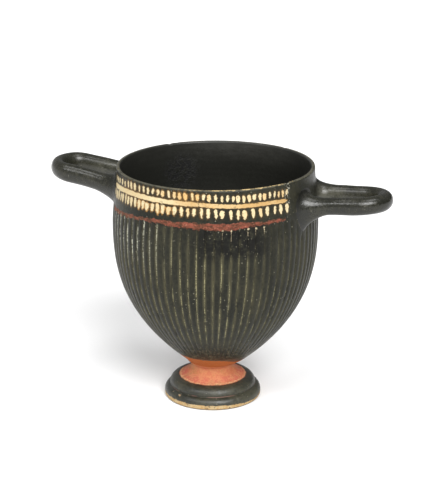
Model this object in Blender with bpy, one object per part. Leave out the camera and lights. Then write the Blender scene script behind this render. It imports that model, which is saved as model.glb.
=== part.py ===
"""Skyphos: a ribbed cup of fired clay on a moulded foot, with two looped handles.

All lengths are in metres and +Z is up. The foot rests on Z = 0, the body turns round the Z axis
and the handles reach out along X. The two painted sides face -Y and +Y.

Run it with blender --background --python part.py, or from Blender's text editor.
"""

import math
from collections import namedtuple

import bmesh
import bpy
import numpy as np

TURN = 2.0 * math.pi

# Body, measured down from the lip
HEIGHT = 0.1504
LIP_RADIUS = 0.0607
BELLY_RADIUS = 0.0635
BELLY_DROP = 0.0366
TAPER_LENGTH = 0.1020
TAPER_POWER = 2.50
LIP_THICKNESS = 0.0026
WALL_THICKNESS = 0.0036
WALL_FULL_DROP = 0.0200
BOWL_DEPTH = 0.1170
BOWL_ROUNDING = 0.0160

# Ribs cut into the wall
RIB_COUNT = 78
RIB_DEPTH = 0.0007
RIB_TOP_DROP = 0.0215
RIB_BOTTOM_DROP = 0.1160
RIB_RUN_IN = 0.0022
GROOVE_SHARE = 0.40
RIB_EDGE_DROP = 0.10
ROOT_CLEARING = 0.35

# Stem and foot, measured up from the resting plane
STEM_RADIUS = 0.0130
STEM_HEIGHT = 0.0205
STEM_FILLET = 0.0022
LEDGE_RADIUS = 0.0213
LEDGE_HEIGHT = 0.0130
CROWN_BELOW_LEDGE = 0.0020
GROOVE_RADIUS = 0.0270
GROOVE_HEIGHT = 0.0075
GROOVE_WIDTH = 0.0009
FOOT_RADIUS = 0.0304
FOOT_WIDEST_HEIGHT = 0.0036
FOOT_EDGE_ROUNDING = 0.0007
RESTING_RING_WIDTH = 0.0070
UNDERSIDE_DEPTH = 0.0060
FOOT_SHIFT_X = -0.0017
FOOT_SHIFT_Y = -0.0006
FOOT_SHIFT_HEIGHT = 0.0275

# Handles: two loops pulled from round rods, each with two flared roots on the wall
HANDLE_REACH = 0.1098
HANDLE_ROOT_OFFSET = 0.0165
HANDLE_BEND_OFFSET = 0.0137
HANDLE_ROD_WIDTH = 0.0093
HANDLE_SKEW = math.radians(3.0)
FLARE_LENGTH = 0.0105
FLARE_SIDE = 0.0135
FLARE_UP = 0.0125
FLARE_SINK = 0.0008
RIGHT_HANDLE_DROP = 0.0177
RIGHT_HANDLE_RISE = 0.0023
RIGHT_HANDLE_BOW = -0.0014
RIGHT_BEND_LENGTH = 0.0180
RIGHT_ROD_HEIGHT = 0.0107
RIGHT_FLARE_DOWN = 0.0155
LEFT_HANDLE_DROP = 0.0162
LEFT_HANDLE_RISE = 0.0063
LEFT_HANDLE_BOW = 0.0024
LEFT_BEND_LENGTH = 0.0125
LEFT_ROD_HEIGHT = 0.0116
LEFT_FLARE_DOWN = 0.0120

# Facets
BOWL_FACETS = 40
FOOT_FACETS = 40
LIP_FACETS = 78
LIP_ROUND_ROWS = 4
BAND_ROWS = 3
ROD_FACETS = 12
RIB_ROWS = 8
BOWL_ROWS = 8
BEND_STATIONS = 9
FLARE_STATIONS = 4

CLAY_GLOSS_COLOR = (0.028, 0.027, 0.024, 1.0)
CLAY_GLOSS_ROUGHNESS = 0.38

Handle = namedtuple("Handle", "name drop rise bow bend_length rod_height flare_down azimuth")
HANDLES = (
    Handle(
        "right_handle",
        RIGHT_HANDLE_DROP,
        RIGHT_HANDLE_RISE,
        RIGHT_HANDLE_BOW,
        RIGHT_BEND_LENGTH,
        RIGHT_ROD_HEIGHT,
        RIGHT_FLARE_DOWN,
        HANDLE_SKEW,
    ),
    Handle(
        "left_handle",
        LEFT_HANDLE_DROP,
        LEFT_HANDLE_RISE,
        LEFT_HANDLE_BOW,
        LEFT_BEND_LENGTH,
        LEFT_ROD_HEIGHT,
        LEFT_FLARE_DOWN,
        math.pi - HANDLE_SKEW,
    ),
)


def smooth_step(value):
    """A rise from 0 to 1 with level ends."""
    t = min(max(value, 0.0), 1.0)
    return t * t * (3.0 - 2.0 * t)


def bezier(controls, count):
    """The curve that a control polygon pulls, as count + 1 points from its first to its last."""
    t = np.linspace(0.0, 1.0, count + 1)[:, None]
    level = [np.array(point, float)[None, :] for point in controls]
    while len(level) > 1:
        level = [(1.0 - t) * a + t * b for a, b in zip(level, level[1:])]
    return level[0]


def wall_radius(drop):
    """Outer radius at a drop below the lip: a soft swell to the belly, then a power curve."""
    if drop < BELLY_DROP:
        return LIP_RADIUS + (BELLY_RADIUS - LIP_RADIUS) * smooth_step(drop / BELLY_DROP)
    share = min((drop - BELLY_DROP) / TAPER_LENGTH, 1.0)
    return BELLY_RADIUS * (1.0 - share**TAPER_POWER)


def taper_drop(radius):
    """The drop at which the wall below the belly has a given radius."""
    return BELLY_DROP + TAPER_LENGTH * (1.0 - radius / BELLY_RADIUS) ** (1.0 / TAPER_POWER)


def bowl_radius(drop):
    """Inner radius: the outer wall moved in by its thickness, rounded off towards the floor."""
    if drop >= BOWL_DEPTH:
        return 0.0
    grown = smooth_step(drop / WALL_FULL_DROP)
    thickness = LIP_THICKNESS + (WALL_THICKNESS - LIP_THICKNESS) * grown
    step = 0.0005
    slope = (wall_radius(drop + step) - wall_radius(drop)) / step
    inner = wall_radius(drop) - thickness * math.hypot(1.0, slope)
    above_floor = min((BOWL_DEPTH - drop) / BOWL_ROUNDING, 1.0)
    return inner * math.sqrt(1.0 - (1.0 - above_floor) ** 2)


def foot_shift(height):
    """How far the foot stands off the body's axis, which it leaves over the stem."""
    share = smooth_step((FOOT_SHIFT_HEIGHT - height) / (FOOT_SHIFT_HEIGHT - STEM_HEIGHT))
    return FOOT_SHIFT_X * share, FOOT_SHIFT_Y * share


def root_angle(drop):
    """The angle from the handle's middle line to a root, seen from the axis."""
    return math.asin(HANDLE_ROOT_OFFSET / wall_radius(drop))


def rib_strength(angle, drop):
    """1 where a rib is cut to its full depth, 0 where it runs out or a handle's root covers it."""
    strength = smooth_step((drop - RIB_TOP_DROP) / RIB_RUN_IN)
    strength *= smooth_step((RIB_BOTTOM_DROP - drop) / (2.0 * RIB_RUN_IN))
    for handle in HANDLES:
        turned = abs(math.remainder(angle - handle.azimuth, TURN))
        beside = max(turned - root_angle(handle.drop), 0.0) * wall_radius(drop) / FLARE_SIDE
        below = (drop - handle.drop) / handle.flare_down
        strength *= smooth_step((math.hypot(beside, below) - 1.0) / ROOT_CLEARING)
    return strength


def ring_point(mesh, radius, angle, height):
    """A point on a level circle, which stands off the axis where the foot does."""
    shift_x, shift_y = foot_shift(height)
    place = (shift_x + radius * math.cos(angle), shift_y + radius * math.sin(angle), height)
    return mesh.verts.new(place)


def ring(mesh, radius, height, count):
    """A level ring of points."""
    return [ring_point(mesh, radius, TURN * step / count, height) for step in range(count)]


def rib_ring(mesh, drop):
    """A ring round the ribs: a point in each groove, and one on either edge of each rib."""
    radius = wall_radius(drop)
    depth = RIB_DEPTH * radius / BELLY_RADIUS
    edge = 0.5 * GROOVE_SHARE
    points = []
    cuts = ((0.0, depth), (edge, RIB_EDGE_DROP * depth), (1.0 - edge, RIB_EDGE_DROP * depth))
    for rib in range(RIB_COUNT):
        for share, cut in cuts:
            angle = TURN * (rib + share) / RIB_COUNT
            reach = radius - cut * rib_strength(angle, drop)
            points.append(ring_point(mesh, reach, angle, HEIGHT - drop))
    return points


def join_rings(mesh, one, other):
    """The faces between two rings that start at the same angle; the counts may differ."""
    if len(one) == len(other):
        for step in range(len(one)):
            mesh.faces.new((one[step - 1], one[step], other[step], other[step - 1]))
        return
    many, few = (one, other) if len(one) > len(other) else (other, one)
    ratio = len(few) / len(many)
    for step in range(len(many)):
        near = few[int(step * ratio + 0.5) % len(few)]
        ahead = few[int((step + 1) * ratio + 0.5) % len(few)]
        following = many[(step + 1) % len(many)]
        mesh.faces.new((many[step], following, near))
        if ahead is not near:
            mesh.faces.new((following, ahead, near))


def close_ring(mesh, points, centre):
    """A fan from a ring to one point."""
    tip = mesh.verts.new(centre)
    for step in range(len(points)):
        mesh.faces.new((points[step - 1], points[step], tip))


def lip_rings(mesh):
    """The rounded lip, from inside the mouth over the top to the painted band."""
    half = 0.5 * LIP_THICKNESS
    middle = LIP_RADIUS - half
    rings = []
    for step in range(LIP_ROUND_ROWS + 1):
        angle = math.pi * step / LIP_ROUND_ROWS
        radius = middle - half * math.cos(angle)
        height = HEIGHT - half + half * math.sin(angle)
        rings.append(ring(mesh, radius, height, LIP_FACETS))
    for step in range(BAND_ROWS):
        drop = half + (RIB_TOP_DROP - half) * (step + 1) / BAND_ROWS
        rings.append(ring(mesh, wall_radius(drop), HEIGHT - drop, LIP_FACETS))
    return rings


def rib_rings(mesh):
    """The ribbed wall, closer rows where it curves in towards the stem."""
    first = RIB_TOP_DROP + RIB_RUN_IN
    last = RIB_BOTTOM_DROP - 2.0 * RIB_RUN_IN
    drops = [first + (last - first) * (step / RIB_ROWS) ** 0.85 for step in range(RIB_ROWS + 1)]
    return [rib_ring(mesh, drop) for drop in drops]


def stem_profile():
    """Radius and height from the ribs' lower end down to the stem's narrowest place."""
    join_radius = STEM_RADIUS + STEM_FILLET
    join_height = HEIGHT - taper_drop(join_radius)
    rib_radius = wall_radius(RIB_BOTTOM_DROP)
    middle = 0.5 * (rib_radius + join_radius)
    taper = [(r, HEIGHT - taper_drop(r)) for r in (rib_radius, middle, join_radius)]
    corner = (STEM_RADIUS, 0.5 * (join_height + STEM_HEIGHT))
    fillet = bezier([(join_radius, join_height), corner, (STEM_RADIUS, STEM_HEIGHT)], 2)
    return taper + [tuple(point) for point in fillet[1:]]


def foot_profile():
    """Radius and height down the foot: its dished top, two mouldings and the resting edge."""
    ledge = (LEDGE_RADIUS, LEDGE_HEIGHT)
    dish = (STEM_RADIUS, 0.45 * STEM_HEIGHT + 0.55 * LEDGE_HEIGHT)
    top = bezier([(STEM_RADIUS, STEM_HEIGHT), dish, ledge], 4)
    groove = (GROOVE_RADIUS, GROOVE_HEIGHT)
    crown = (GROOVE_RADIUS, LEDGE_HEIGHT - CROWN_BELOW_LEDGE)
    shoulder = bezier([ledge, crown, (GROOVE_RADIUS, GROOVE_HEIGHT + GROOVE_WIDTH)], 4)
    lower = bezier(
        [
            (GROOVE_RADIUS, GROOVE_HEIGHT - GROOVE_WIDTH),
            (FOOT_RADIUS, GROOVE_HEIGHT - GROOVE_WIDTH),
            (FOOT_RADIUS, FOOT_WIDEST_HEIGHT),
        ],
        4,
    )
    edge = [(FOOT_RADIUS, FOOT_EDGE_ROUNDING), (FOOT_RADIUS - FOOT_EDGE_ROUNDING, 0.0)]
    inset = (groove[0] - GROOVE_WIDTH, groove[1])
    profile = [tuple(p) for p in top[1:]] + [tuple(p) for p in shoulder[1:]]
    return profile + [inset] + [tuple(p) for p in lower] + edge


def underside_profile():
    """Radius and height from the resting ring in to the middle of the hollow underside."""
    inner = FOOT_RADIUS - FOOT_EDGE_ROUNDING - RESTING_RING_WIDTH
    return [(inner, 0.0), (0.9 * inner, 0.75 * UNDERSIDE_DEPTH), (0.5 * inner, UNDERSIDE_DEPTH)]


def bowl_profile():
    """Radius and height from the lip's inner edge down to near the middle of the floor."""
    start = 0.5 * LIP_THICKNESS
    drops = [start + (BOWL_DEPTH - start) * math.sin(0.25 * TURN * step / BOWL_ROWS)
             for step in range(1, BOWL_ROWS)]
    return [(bowl_radius(drop), HEIGHT - drop) for drop in drops]


def build_body():
    """The hollow body with its ribs, stem and foot, as one closed mesh."""
    mesh = bmesh.new()
    lip = lip_rings(mesh)
    outer = lip + rib_rings(mesh)
    outer.append(ring(mesh, wall_radius(RIB_BOTTOM_DROP), HEIGHT - RIB_BOTTOM_DROP, LIP_FACETS))
    for radius, height in stem_profile()[1:] + foot_profile() + underside_profile():
        outer.append(ring(mesh, radius, height, FOOT_FACETS))
    for above, below in zip(outer, outer[1:]):
        join_rings(mesh, above, below)
    close_ring(mesh, outer[-1], (*foot_shift(0.0), UNDERSIDE_DEPTH))
    bowl = [lip[0]] + [ring(mesh, r, h, BOWL_FACETS) for r, h in bowl_profile()]
    for above, below in zip(bowl, bowl[1:]):
        join_rings(mesh, above, below)
    close_ring(mesh, bowl[-1], (0.0, 0.0, HEIGHT - BOWL_DEPTH))
    return mesh


def on_wall(angle, height, sink):
    """A point just under the outer wall."""
    reach = wall_radius(HEIGHT - height) - sink
    return np.array((reach * math.cos(angle), reach * math.sin(angle), height))


def rod_path(handle):
    """The rod's middle line along +X, from the end of one flare round the bend to the other."""
    start = wall_radius(handle.drop) * math.cos(root_angle(handle.drop))
    tip = HANDLE_REACH - 0.5 * HANDLE_ROD_WIDTH
    bend_start = tip - handle.bend_length
    arm_start = start + FLARE_LENGTH

    def arm_offset(x):
        narrowing = math.sin(0.25 * TURN * (x - start) / (bend_start - start))
        return HANDLE_ROOT_OFFSET + (HANDLE_BEND_OFFSET - HANDLE_ROOT_OFFSET) * narrowing

    def lifted(x, y):
        share = (x - start) / (tip - start)
        lift = handle.rise * share + handle.bow * share * (1.0 - share)
        return (x, y, HEIGHT - handle.drop + lift)

    arm = [(x, arm_offset(x)) for x in (arm_start, 0.5 * (arm_start + bend_start))]
    bend = []
    for step in range(BEND_STATIONS):
        angle = 0.5 * TURN * step / (BEND_STATIONS - 1)
        x = bend_start + handle.bend_length * math.sin(angle)
        bend.append((x, HANDLE_BEND_OFFSET * math.cos(angle)))
    back = [(x, -y) for x, y in reversed(arm)]
    return np.array([lifted(x, y) for x, y in arm + bend + back])


def rod_section(centre, heading, rod_height):
    """An upright oval ring of points round the rod's middle line."""
    heading = heading / np.linalg.norm(heading)
    sideways = np.array((-heading[1], heading[0], 0.0))
    sideways /= np.linalg.norm(sideways)
    upwards = np.cross(heading, sideways)
    angles = TURN * np.arange(ROD_FACETS) / ROD_FACETS
    across = 0.5 * HANDLE_ROD_WIDTH * np.cos(angles)[:, None] * sideways
    return centre + across + 0.5 * rod_height * np.sin(angles)[:, None] * upwards


def flare_sections(handle, rod_ring, side):
    """Rings from inside the wall out to the rod.

    Each line along the rod leaves it straight, turns at the wall and runs out along the wall.
    The side is 1 for the root on the +Y side and -1 for the other.
    """
    middle_angle = side * root_angle(handle.drop)
    middle_height = HEIGHT - handle.drop
    radius = wall_radius(handle.drop)
    spread, corners = [], []
    for step in range(ROD_FACETS):
        angle = TURN * step / ROD_FACETS
        beside, up = side * math.cos(angle), math.sin(angle)
        reach_up = FLARE_UP if up > 0.0 else handle.flare_down
        spread.append((middle_angle + beside * FLARE_SIDE / radius, middle_height + up * reach_up))
        corner_angle = middle_angle + beside * 0.5 * HANDLE_ROD_WIDTH / radius
        corners.append(on_wall(corner_angle, middle_height + up * 0.5 * handle.rod_height, 0.0))
    edge = np.array([on_wall(angle, height, FLARE_SINK) for angle, height in spread])
    corner = np.array(corners)
    sections = [np.array([on_wall(angle, height, 2.0 * FLARE_SINK) for angle, height in spread])]
    for step in range(FLARE_STATIONS):
        t = step / FLARE_STATIONS
        sections.append((1.0 - t) ** 2 * edge + 2.0 * t * (1.0 - t) * corner + t * t * rod_ring)
    return sections


def build_handle(handle):
    """One handle along +X: flare, arm, bend, arm and flare, closed inside the wall."""
    path = rod_path(handle)
    headings = np.gradient(path, axis=0)
    rod = [rod_section(at, heading, handle.rod_height) for at, heading in zip(path, headings)]
    sections = flare_sections(handle, rod[0], 1.0) + rod
    sections += reversed(flare_sections(handle, rod[-1], -1.0))
    mesh = bmesh.new()
    rings = [[mesh.verts.new(point) for point in section] for section in sections]
    for one, other in zip(rings, rings[1:]):
        join_rings(mesh, one, other)
    for end, side in ((rings[0], 1.0), (rings[-1], -1.0)):
        middle_angle = side * root_angle(handle.drop)
        close_ring(mesh, end, on_wall(middle_angle, HEIGHT - handle.drop, 2.0 * FLARE_SINK))
    return mesh


def clay_gloss():
    """Black slip fired to a soft gloss."""
    material = bpy.data.materials.new("clay_gloss")
    material.use_nodes = True
    shader = material.node_tree.nodes["Principled BSDF"]
    shader.inputs["Base Color"].default_value = CLAY_GLOSS_COLOR
    shader.inputs["Roughness"].default_value = CLAY_GLOSS_ROUGHNESS
    shader.inputs["Metallic"].default_value = 0.0
    return material


def add_object(name, mesh, material):
    """An object from an edit mesh, faces outwards, shaded smooth with its sharp edges kept."""
    bmesh.ops.recalc_face_normals(mesh, faces=mesh.faces)
    data = bpy.data.meshes.new(name)
    mesh.to_mesh(data)
    mesh.free()
    data.shade_smooth()
    data.set_sharp_from_angle(angle=math.radians(35.0))
    data.materials.append(material)
    placed = bpy.data.objects.new(name, data)
    bpy.context.collection.objects.link(placed)
    return placed


def main():
    for old in list(bpy.data.objects):
        bpy.data.objects.remove(old, do_unlink=True)
    material = clay_gloss()
    vessel = add_object("skyphos", build_body(), material)
    for handle in HANDLES:
        loop = add_object(handle.name, build_handle(handle), material)
        loop.rotation_euler.z = handle.azimuth
        loop.hide_render = True
        loop.display_type = "WIRE"
        join = vessel.modifiers.new("join " + handle.name, "BOOLEAN")
        join.operation = "UNION"
        join.solver = "EXACT"
        join.object = loop


main()
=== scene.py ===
"""Looks for a skyphos: a ribbed cup of fired clay with two looped handles.

The file is laid out as an add-on. Run as a script, it registers itself, makes the finished cup
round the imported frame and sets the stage. Lengths are in metres, +Z is up, the foot rests on
Z = 0 and the painted side in the photograph faces -Y.

Words used below. Drop: distance down from the lip. Azimuth: angle round the Z axis from +X.
Panel angle: angle from the middle of a painted side, in degrees.
"""

import math
from collections import namedtuple

import bpy
import numpy as np
from bpy.props import FloatProperty, FloatVectorProperty, IntProperty, PointerProperty
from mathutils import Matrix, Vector


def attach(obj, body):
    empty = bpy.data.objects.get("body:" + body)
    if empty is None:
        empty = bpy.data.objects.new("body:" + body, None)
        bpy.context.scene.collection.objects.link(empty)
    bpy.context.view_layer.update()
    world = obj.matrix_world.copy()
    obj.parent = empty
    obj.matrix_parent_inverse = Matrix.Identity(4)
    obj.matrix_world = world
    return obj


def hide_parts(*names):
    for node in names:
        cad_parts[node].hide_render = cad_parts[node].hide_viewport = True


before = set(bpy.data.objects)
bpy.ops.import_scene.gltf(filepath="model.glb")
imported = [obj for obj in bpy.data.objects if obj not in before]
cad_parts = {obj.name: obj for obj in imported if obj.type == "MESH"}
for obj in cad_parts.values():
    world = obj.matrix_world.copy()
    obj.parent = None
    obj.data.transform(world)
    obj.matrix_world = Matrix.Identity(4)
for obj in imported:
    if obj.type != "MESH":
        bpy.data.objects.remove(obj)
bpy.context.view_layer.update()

bl_info = {
    "name": "Ribbed skyphos",
    "version": (1, 0, 0),
    "blender": (4, 5, 0),
    "location": "3D View > Sidebar > Skyphos",
    "description": "Makes a ribbed, black-gloss clay cup with painted bands and looped handles",
    "category": "Object",
}

TURN = 2.0 * math.pi
MM = 0.001
IN_MM = 1000.0


# Sizes and colours


def measure(name, description, default):
    """A length in metres that the sidebar shows."""
    return FloatProperty(name=name, description=description, default=default, unit="LENGTH")


def pigment(name, description, *default):
    """A colour, as seen on a screen, that the sidebar shows."""
    return FloatVectorProperty(name=name, description=description, default=default, subtype="COLOR_GAMMA")


class CupSizes(bpy.types.PropertyGroup):
    """The cup's driving sizes."""

    height: measure("Height", "Lip above the resting plane", 0.1504)
    lip_radius: measure("Lip radius", "Outer radius at the lip", 0.0607)
    belly_radius: measure("Belly radius", "Largest outer radius", 0.0635)
    belly_drop: measure("Belly drop", "Drop of the largest radius", 0.0366)
    taper_length: measure("Taper length", "Height over which the wall would close", 0.1020)
    taper_power: FloatProperty(
        name="Taper power", description="Fullness of the taper below the belly", default=2.5)
    lip_thickness: measure("Lip thickness", "Wall at the lip", 0.0026)
    wall_thickness: measure("Wall thickness", "Wall below the lip", 0.0036)
    bowl_depth: measure("Bowl depth", "Drop of the bowl's floor", 0.1170)
    rib_count: IntProperty(name="Ribs", description="Ribs round the wall", default=78, min=8)
    rib_depth: measure("Rib depth", "Depth of a groove", 0.0007)
    rib_top: measure("Rib top", "Drop where the ribs begin", 0.0215)
    rib_bottom: measure("Rib bottom", "Drop where the ribs end", 0.1160)
    stem_radius: measure("Stem radius", "Narrowest radius under the bowl", 0.0130)
    stem_height: measure("Stem height", "Height of the narrowest place", 0.0205)
    ledge_radius: measure("Ledge radius", "Edge of the foot's red top", 0.0213)
    ledge_height: measure("Ledge height", "Height of that edge", 0.0130)
    foot_radius: measure("Foot radius", "Largest radius of the foot", 0.0304)


class CupColours(bpy.types.PropertyGroup):
    """The cup's colours, as seen on a screen."""

    gloss: pigment("Black gloss", "Slip on the wall", 0.113, 0.115, 0.092)
    gloss_worn: pigment("Worn gloss", "Slip worn thin", 0.195, 0.190, 0.145)
    inside: pigment("Inside gloss", "Slip in the bowl", 0.125, 0.126, 0.113)
    soot: pigment("Dark blotches", "Thick or stained slip", 0.055, 0.055, 0.050)
    cream: pigment("Cream paint", "Strokes and line", 0.82, 0.765, 0.615)
    orange_cream: pigment("Orange cream paint", "Tinged strokes", 0.80, 0.65, 0.42)
    stain: pigment("Paint rim", "Ochre edge of the paint", 0.55, 0.40, 0.20)
    red: pigment("Red paint", "Band above the ribs", 0.52, 0.285, 0.22)
    deep_red: pigment("Deep red", "The band where it is thin", 0.30, 0.19, 0.13)
    deposit: pigment("Groove deposit", "Pale soil in the grooves", 0.62, 0.595, 0.45)
    halo: pigment("Groove halo", "Worn slip beside a groove", 0.300, 0.287, 0.215)
    clay: pigment("Bare clay", "Clay at the resting edge", 0.715, 0.625, 0.465)
    # The neck's orange is darkened as painted shade under the bowl.
    neck: pigment("Neck", "Orange under the bowl", 0.63, 0.315, 0.060)
    foot_top: pigment("Foot top", "Red wash on the foot", 0.755, 0.482, 0.342)


# Curves that the shapes are made from


def smooth_step(value):
    """A rise from 0 to 1 with level ends: 3 t^2 - 2 t^3."""
    t = np.clip(value, 0.0, 1.0)
    return t * t * (3.0 - 2.0 * t)


def bump(value):
    """A bell of height 1: e to the minus value squared."""
    return np.exp(-np.square(value))


def bezier(controls, count):
    """The curve that a control polygon pulls, as count + 1 points."""
    t = np.linspace(0.0, 1.0, count + 1)[:, None]
    level = [np.array(point, float)[None, :] for point in controls]
    while len(level) > 1:
        level = [(1.0 - t) * a + t * b for a, b in zip(level, level[1:])]
    return level[0]


def wall_radius(drop, sizes):
    """Outer radius: a soft swell from the lip to the belly, then belly (1 - share^power)."""
    drop = np.asarray(drop, float)
    gain = sizes.belly_radius - sizes.lip_radius
    swell = sizes.lip_radius + gain * smooth_step(drop / sizes.belly_drop)
    share = np.clip((drop - sizes.belly_drop) / sizes.taper_length, 0.0, 1.0)
    return np.where(drop < sizes.belly_drop, swell, sizes.belly_radius * (1.0 - share**sizes.taper_power))


def taper_drop(radius, sizes):
    """The drop at which the taper has a given radius."""
    share = (1.0 - radius / sizes.belly_radius) ** (1.0 / sizes.taper_power)
    return sizes.belly_drop + sizes.taper_length * share


LIP_LENGTH = 20.0 * MM
FLOOR_ROUNDING = 16.0 * MM


def bowl_radius(drop, sizes):
    """Inner radius: the wall less its thickness across the slope, rounded off over the floor."""
    grown = smooth_step(drop / LIP_LENGTH)
    thickness = sizes.lip_thickness + (sizes.wall_thickness - sizes.lip_thickness) * grown
    step = 0.5 * MM
    slope = (wall_radius(drop + step, sizes) - wall_radius(drop, sizes)) / step
    inner = wall_radius(drop, sizes) - thickness * np.hypot(1.0, slope)
    above_floor = np.clip((sizes.bowl_depth - drop) / FLOOR_ROUNDING, 0.0, 1.0)
    return inner * np.sqrt(1.0 - (1.0 - above_floor) ** 2)


FOOT_SHIFT = (-1.7 * MM, -0.6 * MM)
FOOT_SHIFT_HEIGHT = 27.5 * MM
FOOT_GROOVE = np.array((27.0, 7.5)) * MM
RESTING_RING = 7.7 * MM
HOLLOW_HEIGHT = 6.0 * MM


def foot_shift(height, sizes):
    """How far the foot stands off the axis at each height, as x and y: a soft step over the stem."""
    share = smooth_step((FOOT_SHIFT_HEIGHT - height) / (FOOT_SHIFT_HEIGHT - sizes.stem_height))
    return FOOT_SHIFT[0] * share, FOOT_SHIFT[1] * share


# Handle sizes


# azimuth in degrees, then in mm: drop at the root, rise and bow of the rod's middle line, length
# of the bend, rod height, and how far the flare runs down the wall
HANDLES = {
    "right_handle": dict(
        azimuth=3.0, drop=17.7, rise=2.3, bow=-1.4, bend=18.0, rod_height=10.7, flare_down=14.5),
    "left_handle": dict(
        azimuth=177.0, drop=16.2, rise=6.3, bow=2.4, bend=12.5, rod_height=11.6, flare_down=9.0),
}
ROOT_OFFSET = 16.5 * MM
BEND_OFFSET = 13.7 * MM
HANDLE_REACH = 109.8 * MM
ROD_WIDTH = 9.3 * MM
FLARE_LENGTH = 14.0 * MM
FLARE_PULL = 0.62
FLARE_OUTWARD = 10.5 * MM
FLARE_INWARD = 13.5 * MM
FLARE_UP = 11.5 * MM
FLARE_SLIDE = 4.5 * MM


def root_angle(drop, sizes):
    """Angle from a handle's middle line to one of its roots, seen from the axis."""
    return np.arcsin(ROOT_OFFSET / wall_radius(drop, sizes))


def from_azimuth(angle, azimuth):
    """An angle in radians from an azimuth in degrees, between minus and plus half a turn."""
    return (angle - math.radians(azimuth) + math.pi) % TURN - math.pi


# Meshes


def new_object(name, data):
    """An object in the scene that shows a mesh, a lamp or a camera."""
    made = bpy.data.objects.new(name, data)
    bpy.context.scene.collection.objects.link(made)
    return made


def grid_faces(rows, columns):
    """Four corners of each face of a grid that closes on itself round its columns."""
    row, column = np.meshgrid(np.arange(rows - 1), np.arange(columns), indexing="ij")
    ahead = (column + 1) % columns
    here, below = row * columns, (row + 1) * columns
    return np.stack((here + column, here + ahead, below + ahead, below + column), -1).reshape(-1, 4)


def mesh_object(name, points, materials, row_material=None, attributes=None, flip=False):
    """An object from a grid of points, rows by columns by 3, closed round its columns.

    The first and the last row are each closed by one face. row_material gives the material of
    the faces below each row, and attributes holds numbers for the points, rows or columns.
    """
    rows, columns = points.shape[:2]
    faces = grid_faces(rows, columns)
    if flip:
        faces = faces[:, ::-1]
    first = np.arange(columns)
    last = (rows - 1) * columns + first
    ends = (first, last[::-1]) if flip else (first[::-1], last)
    corners = np.concatenate([faces.ravel(), *ends])
    sizes = np.concatenate([np.full(len(faces), 4), [columns, columns]])
    starts = np.concatenate([[0], np.cumsum(sizes)[:-1]])
    mesh = bpy.data.meshes.new(name)
    mesh.vertices.add(rows * columns)
    mesh.vertices.foreach_set("co", points.astype(np.float32).ravel())
    mesh.loops.add(len(corners))
    mesh.loops.foreach_set("vertex_index", corners.astype(np.int32))
    mesh.polygons.add(len(sizes))
    mesh.polygons.foreach_set("loop_start", starts.astype(np.int32))
    for material in materials:
        mesh.materials.append(material)
    if row_material is not None:
        index = np.concatenate([np.repeat(row_material[:-1], columns), row_material[[0, -1]]])
        mesh.polygons.foreach_set("material_index", index.astype(np.int32))
    mesh.update(calc_edges=True)
    mesh.validate()
    mesh.shade_smooth()
    for key, values in (attributes or {}).items():
        layer = mesh.attributes.new(key, "FLOAT", "POINT")
        each = np.broadcast_to(values, (rows, columns)).astype(np.float32)
        layer.data.foreach_set("value", each.ravel())
    return new_object(name, mesh)


# Body


RIB_RUN_IN = 2.2 * MM
RIB_RUN_OUT = 4.4 * MM
WALL_SWELL = 0.7 * MM
WALL_SWELL_AZIMUTH = 48.0
RIB_SHARES = np.array((-0.30, -0.15, -0.07, 0.0, 0.07, 0.15, 0.30, 0.5))
BOWL_INSIDE, WALL_OUTSIDE, FOOT_OUTSIDE = 0, 1, 2


def outer_drops(sizes):
    """Drops of the rows down the outer wall, closest where the ribs begin and end."""
    half = 0.5 * sizes.lip_thickness
    band = half + (sizes.rib_top - half) * np.linspace(0.0, 1.0, 14)[1:]
    start = sizes.rib_top + 2.4 * MM * np.linspace(0.0, 1.0, 5)[1:]
    end = sizes.rib_bottom - RIB_RUN_OUT * np.linspace(1.0, 0.0, 6)
    middle = np.linspace(start[-1], end[0], 42)[1:-1]
    return np.concatenate([band, start, middle, end])


def foot_profile(sizes):
    """Radius and height from the ribs' end down the neck and the foot to the hollow underside."""
    join = sizes.stem_radius + 2.2 * MM
    join_height = sizes.height - taper_drop(join, sizes)
    radii = np.linspace(float(wall_radius(sizes.rib_bottom, sizes)), join, 8)
    taper = np.stack([radii, sizes.height - taper_drop(radii, sizes)], -1)
    corner = (sizes.stem_radius, 0.5 * (join_height + sizes.stem_height))
    fillet = bezier([(join, join_height), corner, (sizes.stem_radius, sizes.stem_height)], 5)
    ledge = np.array((sizes.ledge_radius, sizes.ledge_height))
    dish = (sizes.stem_radius, 0.45 * sizes.stem_height + 0.55 * sizes.ledge_height)
    top = bezier([(sizes.stem_radius, sizes.stem_height), dish, ledge], 8)
    groove, deep = FOOT_GROOVE, HOLLOW_HEIGHT
    width = 0.35 * MM
    rim = ledge + np.array((0.30, 0.12)) * MM
    crown = (groove[0] - 0.3 * MM, sizes.ledge_height - 0.7 * MM)
    shoulder = bezier([rim, crown, groove + np.array((0.1 * MM, width))], 10)
    notch = bezier([
        groove + np.array((0.0, 0.7 * width)), groove - np.array((0.9 * width, 0.0)),
        groove + np.array((0.1 * MM, -0.7 * width))], 4)
    wide = sizes.foot_radius
    moulding = bezier([
        groove + np.array((0.25 * MM, -width)), (wide - 0.3 * MM, groove[1] - 1.2 * MM),
        (wide, 3.2 * MM)], 8)
    edge = bezier([(wide, 1.6 * MM), (wide, 0.0), (wide - 1.3 * MM, 0.0)], 4)
    inner = wide - RESTING_RING
    ring = np.array([(inner + 3.0 * MM, 0.0), (inner, 0.0)])
    hollow = bezier([
        (inner - 0.2 * MM, 0.1 * MM), (0.92 * inner, deep), (0.5 * inner, deep), (0.2 * MM, deep)], 6)
    return np.concatenate([taper[1:], fillet[1:], top[1:], shoulder, notch, moulding, edge, ring, hollow])


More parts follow.
